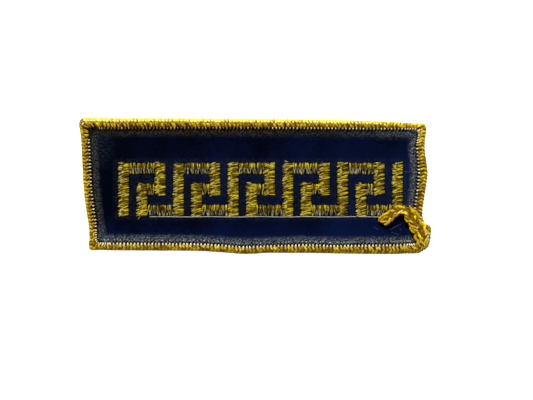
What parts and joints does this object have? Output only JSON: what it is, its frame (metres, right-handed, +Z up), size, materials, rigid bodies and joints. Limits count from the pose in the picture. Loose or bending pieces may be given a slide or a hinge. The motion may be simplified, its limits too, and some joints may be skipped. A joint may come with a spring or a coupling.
{
  "type": "iron-on patch",
  "caption": "Oblong embroidered iron-on patch lying on its face: twill panel with melt film, satin-stitched key pattern, overlocked border and a loose thread tail at one corner.",
  "frame": {"origin": "under the middle of the patch, on the surface that it lies on face down", "axes": "+X along the length, +Y across the width, +Z up out of the ironing side"},
  "size_m": [0.102, 0.0396, 0.0049],
  "materials": {
    "ground_cloth": "navy polyester twill, matt, fine diagonal weave",
    "melt_film": "clear heat-seal film, glossy, faintly milky near the border",
    "gold_thread": "golden yellow rayon thread with a silky sheen",
    "cream_thread": "cream needle and bobbin thread, slightly glossy"
  },
  "bodies": {
    "root": {"twill_ground": "ground_cloth", "iron_on_film": "melt_film", "merrow_border": "gold_thread", "border_tail": "gold_thread", "satin_key_1": "gold_thread", "satin_key_2": "gold_thread", "satin_key_3": "gold_thread", "satin_key_4": "gold_thread", "satin_key_5": "gold_thread", "satin_key_end": "gold_thread"}
  },
  "joints": []
}
